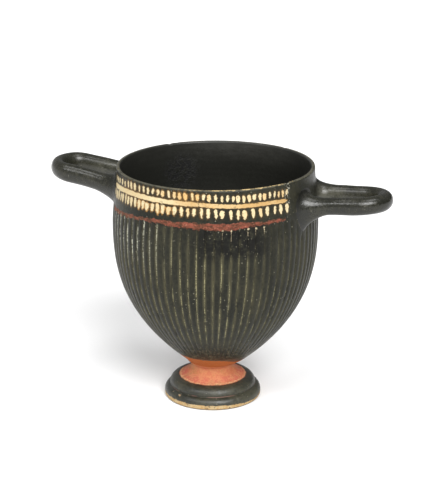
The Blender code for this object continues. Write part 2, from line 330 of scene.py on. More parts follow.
def body_rows(sizes):
    """The whole profile, from the middle of the bowl's floor over the lip to that of the underside.

    Returns radius, height, drop on the outer wall (or -1 elsewhere) and material for each row.
    """
    half = 0.5 * sizes.lip_thickness
    turned = 0.5 * math.pi * np.linspace(0.997, 0.0, 28)
    drops = half + (sizes.bowl_depth - half) * np.sin(turned)
    inside = np.stack([np.maximum(bowl_radius(drops, sizes), 0.2 * MM), sizes.height - drops], -1)
    angle = math.pi * np.linspace(0.0, 1.0, 10)[1:]
    middle = sizes.lip_radius - half
    lip = np.stack([middle - half * np.cos(angle), sizes.height - half + half * np.sin(angle)], -1)
    wall_drops = outer_drops(sizes)
    wall = np.stack([wall_radius(wall_drops, sizes), sizes.height - wall_drops], -1)
    foot = foot_profile(sizes)
    radius, height = np.concatenate([inside, lip, wall, foot]).T
    on_wall = np.full(len(radius), -1.0)
    on_wall[len(inside) + len(lip):][:len(wall)] = wall_drops
    lengths = (len(inside) + 2, len(lip) + len(wall) - 2, len(foot))
    material = np.repeat((BOWL_INSIDE, WALL_OUTSIDE, FOOT_OUTSIDE), lengths)
    return radius, height, on_wall, material


def root_cover(angle, drop, sizes):
    """0 under a handle's flares and 1 clear of them: a soft step of the distance from the root."""
    clear = np.ones(np.broadcast(angle, drop).shape)
    for handle in HANDLES.values():
        turned = np.abs(from_azimuth(angle, handle["azimuth"]))
        root = root_angle(handle["drop"] * MM, sizes)
        below = (drop - handle["drop"] * MM) / (handle["flare_down"] * MM)
        away = (turned - root) * wall_radius(drop, sizes) - FLARE_SLIDE * np.clip(below, 0.0, 1.0)
        outside = np.hypot(away / FLARE_OUTWARD, below)
        between = np.abs(away) / FLARE_INWARD + below
        clear *= smooth_step((np.where(away > 0.0, outside, between) - 1.0) / 0.35)
    return clear


def rib_columns(sizes, draw):
    """Each column's angle and share of a pitch from its groove; each rib's wander, depth and luck."""
    count = sizes.rib_count
    pitch = TURN / count
    share = np.tile(RIB_SHARES, count)
    rib = np.repeat(np.arange(count), len(RIB_SHARES))
    wander = draw.uniform(-0.07, 0.07, count)[rib] * (1.0 - 2.0 * np.abs(share))
    angle = (rib + share) * pitch
    depth = draw.uniform(0.80, 1.20, count)[rib]
    luck = draw.uniform(0.0, 1.0, count)[rib]
    return angle, share, wander * pitch, depth, luck


def rib_lean(drop):
    """The ribs lean a little: their angle falls off evenly with the drop."""
    return np.radians(0.75 - 0.9 * (drop - 42.0 * MM) / (42.0 * MM))


CHIPS = (
    # azimuth in degrees, half width in degrees, depth in mm
    (-28.5, 1.6, 0.55),
    (-31.5, 0.7, 0.25),
    (136.0, 1.1, 0.50),
    (131.0, 0.6, 0.20),
    (60.0, 1.0, 0.25),
    (-112.0, 0.6, 0.15),
    (-60.0, 0.9, 0.18),
    (215.0, 1.2, 0.30),
)
FOOT_CHIPS = (
    # azimuth in degrees, height in mm, half width and half height in mm, depth in mm
    (-118.0, 6.0, 2.4, 1.2, 0.55),
    (-123.0, 4.2, 1.2, 1.0, 0.30),
    (-132.0, 6.6, 1.4, 0.9, 0.35),
    (-40.0, 5.6, 1.1, 0.9, 0.25),
    (80.0, 5.8, 1.8, 1.0, 0.30),
)


def chip_away(points, radius, height, angle, sizes):
    """Lowers the lip and pushes in the foot's edge in bells round each chip."""
    near_lip = smooth_step(1.0 - (sizes.height - height) / (2.2 * MM))
    lip = np.zeros(len(angle))
    for azimuth, width, depth in CHIPS:
        away = np.degrees(from_azimuth(angle, azimuth))
        lip += depth * MM * bump(away / width)
    points[..., 2] -= near_lip[:, None] * lip[None, :]
    is_foot = (height < 9.0 * MM) & (radius > 20.0 * MM)
    for azimuth, level, width, tall, depth in FOOT_CHIPS:
        across = from_azimuth(angle, azimuth) * sizes.foot_radius / MM
        bell = bump(across[None, :] / width) * bump((height[:, None] / MM - level) / tall)
        push = 1.0 - depth * MM * bell * is_foot[:, None] / np.maximum(radius, 1.0 * MM)[:, None]
        points[..., :2] *= push[..., None]


def build_body(sizes, materials):
    """The thrown vessel: one closed surface of revolution with its ribs cut in.

    A point at row (r, z) and column a stands at r' (cos a, sin a), z with
    r' = r - depth (0.45 e^-(share / 0.085)^2 + 0.55 (1 - 2 |share|)^2) strength(a, drop).
    The mesh keeps |share| as "gap", a number drawn for each rib as "luck" and the strength as
    "ribbed".
    """
    draw = np.random.default_rng(7)
    radius, height, drop, material = body_rows(sizes)
    angle, share, wander, depth, luck = rib_columns(sizes, draw)
    ribbed = drop > 0.0
    run_out = smooth_step((sizes.rib_bottom - drop) / RIB_RUN_OUT)
    strength = np.where(ribbed, smooth_step((drop - sizes.rib_top) / RIB_RUN_IN) * run_out, 0.0)[:, None]
    strength = strength * root_cover(angle[None, :], np.maximum(drop, 0.0)[:, None], sizes)
    cut = (0.45 * bump(share / 0.085) + 0.55 * (1.0 - 2.0 * np.abs(share)) ** 2) * depth
    reach = 1.35 * sizes.rib_depth * (radius / sizes.belly_radius)[:, None]
    outside = np.arange(len(radius)) > np.argmax(ribbed)
    lean = np.where(ribbed, rib_lean(drop), np.where(outside, rib_lean(sizes.rib_bottom), rib_lean(0.0)))
    run_in = np.where(ribbed, smooth_step((drop - sizes.rib_top) / (3.0 * MM)), 0.0)
    bent = angle[None, :] + lean[:, None] + run_in[:, None] * wander
    out = radius[:, None] - reach * cut[None, :] * strength
    swell = smooth_step(1.0 - (sizes.height - height) / (45.0 * MM)) * (radius > 30.0 * MM)
    out += swell[:, None] * WALL_SWELL * bump(from_azimuth(bent, WALL_SWELL_AZIMUTH) / 0.55)
    shift_x, shift_y = foot_shift(height, sizes)
    points = np.stack([
        shift_x[:, None] + out * np.cos(bent),
        shift_y[:, None] + out * np.sin(bent),
        np.broadcast_to(height[:, None], out.shape)], -1)
    chip_away(points, radius, height, angle, sizes)
    attributes = {"gap": np.abs(share), "luck": luck, "ribbed": strength}
    return mesh_object("skyphos_body", points, materials, material, attributes, flip=True)


# Handles


def rod_path(handle, sizes):
    """The rod's middle line along +X and its headings.

    Two arms that close in by a quarter sine wave, joined by half an ellipse; the height follows
    rise s + bow s (1 - s), where s runs from 0 at the wall to 1 at the tip.
    """
    drop = handle["drop"] * MM
    start = float(wall_radius(drop, sizes) * np.cos(root_angle(drop, sizes)))
    tip = HANDLE_REACH - 0.5 * ROD_WIDTH
    bend = handle["bend"] * MM
    x = np.linspace(start + FLARE_LENGTH, tip - bend, 14)
    closing = np.sin(0.5 * math.pi * (x - start) / (tip - bend - start))
    y = ROOT_OFFSET + (BEND_OFFSET - ROOT_OFFSET) * closing
    turned = np.linspace(0.0, math.pi, 41)[1:-1]
    xs = np.concatenate([x, tip - bend + bend * np.sin(turned), x[::-1]])
    ys = np.concatenate([y, BEND_OFFSET * np.cos(turned), -y[::-1]])
    s = (xs - start) / (tip - start)
    zs = sizes.height - drop + (handle["rise"] * s + handle["bow"] * s * (1.0 - s)) * MM
    path = np.stack([xs, ys, zs], -1)
    heading = np.gradient(path, axis=0)
    return path, heading / np.linalg.norm(heading, axis=1, keepdims=True)


def rod_rings(path, heading, rod_height, columns, draw):
    """Oval rings round the rod's middle line, with a slow, hand-made change in thickness."""
    sideways = np.stack([-heading[:, 1], heading[:, 0], np.zeros(len(path))], -1)
    sideways /= np.linalg.norm(sideways, axis=1, keepdims=True)
    upwards = np.cross(heading, sideways)
    angle = TURN * np.arange(columns) / columns
    share = np.linspace(0.0, 1.0, len(path))
    slow = 0.02 * np.sin(TURN * (1.5 * share + draw.uniform()))
    swell = 1.0 + slow + 0.012 * np.sin(TURN * (4.0 * share + draw.uniform()))
    across = 0.5 * ROD_WIDTH * np.cos(angle)[None, :, None] * sideways[:, None, :]
    up = 0.5 * rod_height * np.sin(angle)[None, :, None] * upwards[:, None, :]
    return path[:, None, :] + swell[:, None, None] * (across + up)


def flare_rings(handle, ring, heading, side, sizes, count=22):
    """Rings from inside the wall out to the rod's first ring.

    Each line is a rational quadratic curve in wall coordinates (angle, height, lift off the
    wall): it leaves the wall along the wall, turns near the place where the rod's line would
    meet the wall, and ends along the rod. Its weight is how hard it is drawn into that corner,
    more above the rod and less below. The lower half of the edge narrows to a soft point, as
    cos^1.5 and sin^1.5 do in place of the circle's cos and sin.
    """
    columns = len(ring)
    drop = handle["drop"] * MM
    middle_angle = side * float(root_angle(drop, sizes))
    middle_height = sizes.height - drop
    radius = float(wall_radius(drop, sizes))
    turned = TURN * np.arange(columns) / columns
    out, up = np.cos(turned), np.sin(turned)
    power = np.where(up > 0.0, 1.0, 1.5)
    out, up = np.sign(out) * np.abs(out) ** power, np.sign(up) * np.abs(up) ** power
    reach_up = np.where(up > 0.0, FLARE_UP, handle["flare_down"] * MM)
    low = np.maximum(-up, 0.0)
    along = side * (out * np.where(out > 0.0, FLARE_OUTWARD, FLARE_INWARD) + FLARE_SLIDE * low)
    flat = np.full(columns, -0.02 * MM)
    edge = np.stack([middle_angle + along / radius, middle_height + up * reach_up, flat], -1)
    back = ring - heading * ((ring[:, 0] - radius * math.cos(middle_angle)) / heading[0])[:, None]
    corner = np.stack([np.arctan2(back[:, 1], back[:, 0]), back[:, 2], 0.5 * flat], -1)
    lift = np.hypot(ring[:, 0], ring[:, 1]) - wall_radius(sizes.height - ring[:, 2], sizes)
    rod = np.stack([np.arctan2(ring[:, 1], ring[:, 0]), ring[:, 2], lift], -1)
    t = (np.arange(count) / count)[:, None, None]
    weight = FLARE_PULL + 0.33 * np.maximum(up, 0.0) - 0.20 * smooth_step(low)
    pull = 2.0 * weight[None, :, None] * t * (1.0 - t)
    lines = ((1.0 - t) ** 2 * edge + pull * corner + t * t * rod) / ((1.0 - t) ** 2 + pull + t * t)
    sunk = edge.copy()
    sunk[:, 2] = -1.2 * MM
    lines = np.concatenate([sunk[None], lines])
    out = wall_radius(sizes.height - lines[..., 1], sizes) + lines[..., 2]
    return np.stack([out * np.cos(lines[..., 0]), out * np.sin(lines[..., 0]), lines[..., 1]], -1)


def build_handle(name, handle, sizes, material, columns=48):
    """One looped handle: flare, arm, bend, arm and flare, closed inside the wall.

    Its mesh keeps three numbers for each point: "seam", 1 where the flares' lower part meets the
    wall; "inner", how much the point faces into the loop; and "root", 1 at the wall and 0 on the rod.
    """
    draw = np.random.default_rng(len(name))
    path, heading = rod_path(handle, sizes)
    rings = rod_rings(path, heading, handle["rod_height"] * MM, columns, draw)
    near = flare_rings(handle, rings[0], heading[0], 1.0, sizes)
    far = flare_rings(handle, rings[-1], heading[-1], -1.0, sizes)
    points = np.concatenate([near, rings, far[::-1]])
    turn = math.radians(handle["azimuth"])
    x = points[..., 0] * math.cos(turn) - points[..., 1] * math.sin(turn)
    y = points[..., 0] * math.sin(turn) + points[..., 1] * math.cos(turn)
    points = np.stack([x, y, points[..., 2]], -1)
    row = np.arange(len(points))
    from_wall = np.minimum(row, row[::-1])[:, None]
    turned = (TURN * np.arange(columns) / columns)[None, :]
    seam = (from_wall < 3) & (np.sin(turned) < 0.2)
    facing = np.maximum(-np.cos(turned), 0.0)
    inner = facing * (0.45 + 0.55 * smooth_step((len(near) + 12.0 - from_wall) / 14.0))
    root = smooth_step(1.0 - from_wall / (0.6 * len(near)))
    return mesh_object(name, points, [material], attributes={"seam": seam, "inner": inner, "root": root})


# Shader building


def screen_colour(value):
    """A colour picked on a screen as the linear colour that a shader takes."""
    linear = [c / 12.92 if c <= 0.04045 else ((c + 0.055) / 1.055) ** 2.4 for c in value]
    return (*linear, 1.0)


def tone(colour, red, green=None, blue=None):
    """A screen colour with its channels scaled, all by the first number if there is only one."""
    return (colour[0] * red, colour[1] * (green or red), colour[2] * (blue or red))


def spaced(key):
    """A socket's name from a key, which has underscores for its spaces."""
    return key.replace("_", " ")


def sign_for(operation, swapped=False):
    """What a sign between two values does: it adds the math node that works the formula out."""
    def apply(one, two):
        first, second = (two, one) if swapped else (one, two)
        return one.math(operation, first, second)
    return apply


class Value:
    """A number, vector or colour in a node tree, which formulas can be written with."""

    def __init__(self, wiring, socket):
        self.math = wiring.math
        self.socket = socket

    def __abs__(self):
        return self.math("ABSOLUTE", self)

    __add__ = sign_for("ADD")
    __sub__ = sign_for("SUBTRACT")
    __rsub__ = sign_for("SUBTRACT", swapped=True)
    __mul__ = sign_for("MULTIPLY")
    __truediv__ = sign_for("DIVIDE")
    __pow__ = sign_for("POWER")
    __lt__ = sign_for("LESS_THAN")
    __gt__ = sign_for("GREATER_THAN")


class Wiring:
    """Adds nodes to a tree, placed in the order they are used, and joins them."""

    def __init__(self, tree):
        self.tree = tree
        self.count = 0

    def node(self, kind, **settings):
        """A new node, six to a column."""
        made = self.tree.nodes.new(kind)
        made.location = (180.0 * (self.count // 6), -190.0 * (self.count % 6))
        self.count += 1
        for key, value in settings.items():
            setattr(made, key, value)
        return made

    def put(self, socket, value):
        """Links a value to a socket or sets it; three numbers are a colour as seen on a screen."""
        if isinstance(value, Value):
            self.tree.links.new(value.socket, socket)
        elif socket.type == "RGBA" and len(value) == 3:
            socket.default_value = screen_colour(value)
        else:
            socket.default_value = value

    def fill(self, sockets, values):
        """Puts values into the sockets of the same places or names, with underscores for spaces."""
        for key, value in values.items():
            self.put(sockets[spaced(key) if isinstance(key, str) else key], value)

    def add(self, kind, output, inputs, **settings):
        """One output of a new node, with inputs given by place or name."""
        made = self.node(kind, **settings)
        self.fill(made.inputs, inputs)
        return Value(self, made.outputs[output])

    def math(self, operation, *values):
        return self.add("ShaderNodeMath", 0, dict(enumerate(values)), operation=operation)

    def most(self, one, two):
        return self.math("MAXIMUM", one, two)

    def least(self, one, two):
        return self.math("MINIMUM", one, two)

    def hypotenuse(self, x, y):
        return self.math("SQRT", x * x + y * y)

    def ramp(self, value, low, high, to_low=0.0, to_high=1.0):
        """Maps low..high to to_low..to_high with eased ends."""
        inputs = dict(enumerate((value, low, high, to_low, to_high)))
        return self.add("ShaderNodeMapRange", 0, inputs, interpolation_type="SMOOTHSTEP")

    def lerp(self, share, low, high):
        """low where share is 0 and high where it is 1, in a straight line."""
        return self.math("MULTIPLY_ADD", share, high - low, low)

    def mix(self, factor, first, second):
        """A colour between first and second."""
        return self.add("ShaderNodeMix", 2, {0: factor, 6: first, 7: second}, data_type="RGBA")

    def blend(self, factor, first, second):
        """A number between first and second."""
        return self.add("ShaderNodeMix", 0, {0: factor, 2: first, 3: second}, data_type="FLOAT")

    def noise(self, point, scale, detail=4.0, roughness=0.7):
        inputs = {"Vector": point, "Scale": scale, "Detail": detail, "Roughness": roughness}
        return self.add("ShaderNodeTexNoise", "Fac", inputs)

    def attribute(self, name):
        return self.add("ShaderNodeAttribute", "Fac", {}, attribute_name=name)

    def combine(self, x, y, z):
        return self.add("ShaderNodeCombineXYZ", 0, {0: x, 1: y, 2: z})

    def separate(self, vector):
        """The three numbers of a vector or colour."""
        made = self.node("ShaderNodeSeparateXYZ")
        self.put(made.inputs[0], vector)
        return [Value(self, socket) for socket in made.outputs]

    def distance(self, point, place):
        """How far a point lies from a fixed place."""
        return self.add("ShaderNodeVectorMath", "Value", {0: point, 1: place}, operation="DISTANCE")

    def group(self, name, point, **values):
        """A shared group's outputs by name; its inputs are given with underscores for spaces."""
        made = self.node("ShaderNodeGroup", node_tree=bpy.data.node_groups[name])
        self.fill(made.inputs, {"Point": point, **values})
        return {socket.name: Value(self, socket) for socket in made.outputs}

    def mottle(self, point, scale, fine, share, low, high):
        return self.group("Mottle", point, Scale=scale, Fine=fine, Share=share, Low=low, High=high)["Value"]

    def specks(self, point, scale, size, share):
        return self.group("Specks", point, Scale=scale, Size=size, Share=share)["Mask"]

    def give(self, **values):
        """Ends a group: its outputs by name, each with what it puts out."""
        for label in values:
            kind = "NodeSocketColor" if label == "Color" else "NodeSocketFloat"
            self.tree.interface.new_socket(name=spaced(label), in_out="OUTPUT", socket_type=kind)
        self.fill(self.node("NodeGroupOutput").inputs, values)


def new_group(name, **inputs):
    """A shader group that takes a point and the named inputs; returns its wiring and their values."""
    tree = bpy.data.node_groups.new(name, "ShaderNodeTree")
    tree.interface.new_socket(name="Point", in_out="INPUT", socket_type="NodeSocketVector")
    for label, default in inputs.items():
        kind = "NodeSocketFloat" if isinstance(default, float) else "NodeSocketColor"
        socket = tree.interface.new_socket(name=spaced(label), in_out="INPUT", socket_type=kind)
        socket.default_value = default
    w = Wiring(tree)
    given = w.node("NodeGroupInput").outputs
    return w, *(Value(w, given[spaced(label)]) for label in ("Point", *inputs))


def round_the_cup_group():
    """Panel angle in degrees, height in mm, and which side of the cup a point is on.

    Panel angle is atan2(x s, |y|) in degrees, where s is the sign of -y, so it is 0 in the middle
    of each painted side. Back is 1 on the far side and 0 on the near one.
    """
    w, point = new_group("Round the cup")
    x, y, z = w.separate(point)
    side = w.math("SIGN", y * -1.0)
    angle = w.math("ARCTAN2", x * side, abs(y))
    w.give(Panel_angle=w.math("DEGREES", angle), Height=z * IN_MM, Back=y > 0.0)


def stroke_row_group():
    """A row of upright brush strokes round the wall.

    A stroke's number is (angle + drift angle^2) / spacing + start, rounded, and the rest is the
    place across it. Its half width is width (1 - v^2)^0.4 (1 - taper v), where v runs from -1 at
    its top to 1 at its foot. Each stroke draws its own place, size, slant and tint from its
    number. Depth is how far inside the stroke's edge a point lies, in mm.
    """
    (w, point, angle, drop, spacing, drift, start, middle, half_height, half_width, taper, reach,
     seed) = new_group(
        "Stroke row", Panel_angle=0.0, Drop=0.0, Spacing=3.4, Drift=0.0, Start=0.0, Middle=0.0,
        Half_height=2.0, Half_width=1.0, Taper=0.2, Reach=61.0, Seed=0.0)
    number = (angle + angle * angle * drift) / spacing + start
    cell = w.math("ROUND", number)
    dice = w.node("ShaderNodeTexWhiteNoise", noise_dimensions="2D")
    w.put(dice.inputs["Vector"], w.combine(cell, seed, 0.0))
    one, two, three = w.separate(Value(w, dice.outputs["Color"]))
    four = Value(w, dice.outputs["Value"])
    stretch = w.math("MULTIPLY_ADD", angle * drift, 2.0, 1.0)
    place = number - cell + w.lerp(one, -0.12, 0.12)
    tall = half_height * w.lerp(three, 0.84, 1.12)
    v = (drop - (middle + w.lerp(two, -0.32, 0.32))) / tall
    across = place * (spacing * 1.07 / stretch) + v * w.lerp(three, 0.25, -0.25)
    round_off = w.most(1.0 - v * v, 0.0) ** 0.4
    width = half_width * w.lerp(four, 0.72, 1.15) * (round_off * (1.0 - taper * v))
    ends = tall * (1.0 - abs(v))
    bristles = w.lerp(w.noise(point, 620.0, 5.0, 0.7), -1.35, 1.35)
    depth = w.least(width - abs(across), ends) + bristles
    beyond = abs(angle - place * spacing) > reach
    w.give(Depth=depth - beyond * 9.0, Tint=two)


def ragged_band_group():
    """A level band between two drops with uneven edges that ends at a panel angle.

    Depth is how far inside its edge a point lies, in mm.
    """
    w, point, angle, drop, top, bottom, uneven, grain, reach = new_group(
        "Ragged band", Panel_angle=0.0, Drop=0.0, Top=0.0, Bottom=1.0, Uneven=0.3, Grain=300.0, Reach=61.0)
    wave = w.lerp(w.noise(point, grain, 4.0, 0.6), -2.0, 2.0)
    nearest = w.least(w.least(drop - top, bottom - drop), reach - abs(angle))
    w.give(Depth=nearest + wave * uneven)


def mottle_group():
    """A slow and a fine noise mixed: an uneven value from 0 to 1."""
    w, point, scale, fine, share, low, high = new_group(
        "Mottle", Scale=60.0, Fine=6.0, Share=0.4, Low=0.3, High=0.7)
    slow = w.noise(point, scale, 4.0, 0.55)
    quick = w.noise(point, scale * fine, 3.0, 0.65)
    w.give(Value=w.ramp(w.blend(share, slow, quick), low, high))


def specks_group():
    """Scattered grains: small round spots in some of the cells of a Voronoi pattern."""
    w, point, scale, size, share = new_group("Specks", Scale=400.0, Size=0.22, Share=0.15)
    cells = w.node("ShaderNodeTexVoronoi")
    w.put(cells.inputs["Vector"], point)
    w.put(cells.inputs["Scale"], scale)
    chance, grade, _ = w.separate(Value(w, cells.outputs["Color"]))
    spot = w.ramp(size * grade - Value(w, cells.outputs["Distance"]), 0.0, 0.05)
    w.give(Mask=spot * (chance < share))


def gloss_slip_group():
    """Black slip: its colour, roughness and fine surface height, with wear as a value from 0 to 1."""
    w, point, black, worn, wear, roughness, pitting, specked = new_group(
        "Gloss slip", Colour=(0.02, 0.02, 0.02, 1.0), Worn=(0.06, 0.055, 0.045, 1.0), Wear=0.3,
        Roughness=0.36, Pitting=0.5, Specks=0.5)
    cloud = w.mottle(point, 55.0, 9.0, 0.5, 0.4, 0.66)
    grit = w.noise(point, 1300.0, 3.0, 0.6)
    grain = w.noise(point, 520.0, 3.0, 0.6)
    colour = w.mix(cloud * wear, black, worn)
    grains = w.specks(point, 1100.0, 0.42, 0.05)
    pits = w.specks(point, 800.0, 0.45, 0.3)
    rise = grit * 0.4 + grain * 0.55 + w.noise(point, 150.0, 3.0, 0.6)
    w.give(
        Color=w.mix(grains * specked, colour, (0.36, 0.34, 0.25, 1.0)),
        Roughness=roughness + w.lerp(cloud, -0.07, 0.07) + w.lerp(grit, -0.12, 0.12),
        Height=rise - pits * (pitting * 0.4))


def build_groups():
    """The shader groups, built once, before the first material."""
    if "Gloss slip" not in bpy.data.node_groups:
        for build in (round_the_cup_group, stroke_row_group, ragged_band_group, mottle_group,
                      specks_group, gloss_slip_group):
            build()


def new_material(name):
    """A material with its wiring, its shader and the object point that its patterns read."""
    build_groups()
    material = bpy.data.materials.new(name)
    material.use_nodes = True
    tree = material.node_tree
    shader = tree.nodes["Principled BSDF"]
    shader.location = (2600.0, 0.0)
    tree.nodes["Material Output"].location = (2900.0, 0.0)
    w = Wiring(tree)
    return material, w, shader, w.add("ShaderNodeTexCoord", "Object", {})


def finish_shader(w, shader, colour, rough, height, distance, shine):
    """Joins colour, roughness and bump to the shader and sets how much it shines."""
    normal = w.add("ShaderNodeBump", "Normal", {"Distance": distance, "Height": height})
    w.fill(shader.inputs, dict(Base_Color=colour, Roughness=rough, Normal=normal, Specular_IOR_Level=shine))


PANEL_END = 61.8
FOOT_CHIP_REACH = 28.6 * MM
PITTED_PLACE = (-0.0386, 0.0446, 0.131)
Spot = namedtuple("Spot", "point angle drop back front")


def add_groove_soil(w, spot, colours, colour):
    """Pale soil in the grooves and worn slip beside them; returns the colour and how much there is.

    The soil lies within a tenth or so of a rib's pitch of a groove's middle, the worn slip
    within a third, and both come and go in long streaks.
    """
    point, angle, drop, *_ = spot
    gap, luck, ribbed = (w.attribute(name) for name in ("gap", "luck", "ribbed"))
    x, y, z = w.separate(point)
    streaky = w.combine(x, y, z * 0.16)
    gap = gap + w.lerp(w.noise(point, 1300.0, 3.0, 0.7), -0.05, 0.05)
    pale = w.ramp(angle, -2.0, -26.0) * w.ramp(drop, 60.0, 36.0)
    wide = w.lerp(pale, 0.1, 0.15)
    core = w.ramp(gap, wide, 0.03) * w.ramp(w.noise(streaky, 330.0), 0.4, 0.58)
    core = core * w.ramp(w.noise(point, 1100.0, 3.0, 0.7), 0.4, 0.55)
    halo = w.ramp(gap, 0.34, 0.06) * w.ramp(w.noise(streaky, 210.0, 4.0, 0.65), 0.34, 0.6)
    fading = ribbed * w.ramp(drop, 108.0, 92.0)
    hidden = w.ramp(angle, -14.0, 2.0) * w.ramp(drop, 40.0, 27.0, 0.0, 0.75)
    fading = fading * (1.0 - hidden)
    own = w.lerp(luck, 0.45, 1.0) * w.ramp(angle, 15.0, 50.0, 1.0, 0.6)
    halo = halo * fading * w.lerp(pale, 0.85, 0.45)
    halo = halo * w.ramp(angle, 22.0, 55.0, 1.0, 0.4)
    upper_right = w.ramp(angle, 28.0, 48.0) * w.ramp(drop, 70.0, 45.0, 0.0, 0.7)
    core = core * (1.0 - upper_right)
    core = core * fading * w.most(own, pale)
    colour = w.mix(halo, colour, colours.halo)
    soil = w.mix(pale, colours.deposit, (0.8, 0.8, 0.72))
    return w.mix(core, colour, soil), w.most(core, halo * 0.5)


def add_dark_patch(w, spot, colours, colour):
    """Black blotches and white grains under the red band, on the front only."""
    beside = w.ramp(abs(spot.angle - 27.0), 27.0, 13.0)
    zone = beside * w.ramp(abs(spot.drop - 31.0), 14.0, 6.0) * spot.front
    blots = w.mottle(spot.point, 210.0, 3.5, 0.4, 0.36, 0.54)
    colour = w.mix(zone * blots * 0.9, colour, colours.soot)
    grains = w.specks(spot.point, 1500.0, 0.5, 0.07)
    return w.mix(grains * zone, colour, (0.5, 0.48, 0.4))


def add_dribbles(w, spot, colours, colour):
    """Cream drops caught at the tops of some grooves right of the middle, with short tails."""
    gap, luck = w.attribute("gap"), w.attribute("luck")
    across = gap * 5.0
    down = spot.drop - w.lerp(luck, 22.6, 24.0)
    drop_shape = 0.75 - w.hypotenuse(across, down)
    length = w.lerp(luck, 0.5, 7.0)
    tail = w.least(0.28 - across, w.least(down, length - down))
    shape = w.most(drop_shape, tail) + w.lerp(w.noise(spot.point, 1300.0, 3.0, 0.6), -0.8, 0.8)
    zone = w.ramp(abs(spot.angle - 36.0), 17.0, 12.0)
    zone = zone * spot.front * w.ramp(luck, 0.15, 0.35)
    amount = w.ramp(shape, 0.0, 0.35) * (zone * w.ramp(down, 0.8, 3.0, 0.95, 0.55))
    return w.mix(amount, colour, tone(colours.cream, 0.92, 0.9, 0.92))


def add_red_band(w, spot, colours, colour):
    """The blotchy red band over the ribs; returns the colour and how much of it is there."""
    point, angle, drop, *_ = spot
    top = w.ramp(angle, -12.0, -38.0, 19.0, 21.0) + w.ramp(angle, 33.0, 44.0, 0.0, 0.7)
    top = top + w.ramp(angle, -36.0, -56.0, 0.0, 1.3)
    bottom = w.ramp(angle, -18.0, -54.0, 22.8, 25.4) + w.ramp(angle, 35.0, 43.0, 0.0, -0.8)
    bottom = bottom + w.ramp(abs(angle - 14.0), 20.0, 10.0, 0.0, 0.9)
    depth = w.group(
        "Ragged band", point, Panel_angle=angle, Drop=drop, Top=top, Bottom=bottom,
        Uneven=0.85, Grain=360.0, Reach=59.8)["Depth"]
    x, y, z = w.separate(point)
    brushed = w.combine(x * 0.35, y * 0.35, z)
    streaks = w.noise(brushed, 620.0, 4.0, 0.65)
    patches = w.noise(point, 240.0)
    thick = w.ramp(streaks * 0.5 + patches * 0.5, 0.4, 0.6)
    low_half = w.ramp(drop - top, 1.2, 3.2)
    sparse = low_half * w.ramp(angle, 2.0, -30.0, 0.25, 0.75)
    covered = w.ramp(thick + depth * 0.3 - sparse, -0.05, 0.4)
    amount = w.ramp(depth, -0.1, 0.45) * covered
    paint = w.mix(thick, colours.deep_red, colours.red)
    flecks = w.ramp(w.noise(point, 1100.0, 2.0, 0.6), 0.6, 0.7)
    paint = w.mix(flecks * 0.65, paint, (0.78, 0.5, 0.4))
    paint = w.mix(w.ramp(angle, -6.0, -40.0, 0.0, 0.55), paint, (0.44, 0.3, 0.235))
    worn_through = w.ramp(w.noise(brushed, 900.0), 0.36, 0.52, 0.45, 0.93)
    return w.mix(amount * worn_through, colour, paint), amount


def line_depth(w, spot):
    """How far inside the cream line a point lies, in mm, and the drop of the line's middle.

    The line dips towards both ends of the painted side and is a little thinner on the right.
    """
    point, angle, drop, *_ = spot
    middle = w.ramp(angle, 4.0, 32.0, 8.3, 9.55) + w.ramp(angle, 50.0, 62.0, 0.0, 0.5)
    middle = middle + w.ramp(angle, -32.0, -60.0, 0.0, 0.9)
    half = w.ramp(angle, -27.0, 33.0, 1.55, 1.25) * w.ramp(abs(angle), PANEL_END, 59.0)
    frayed = w.lerp(w.noise(point, 420.0, 5.0, 0.7), -0.9, 0.9)
    depth = half - abs(drop - middle) + frayed
    beyond = abs(angle) > PANEL_END
    return depth - beyond * 9.0, middle


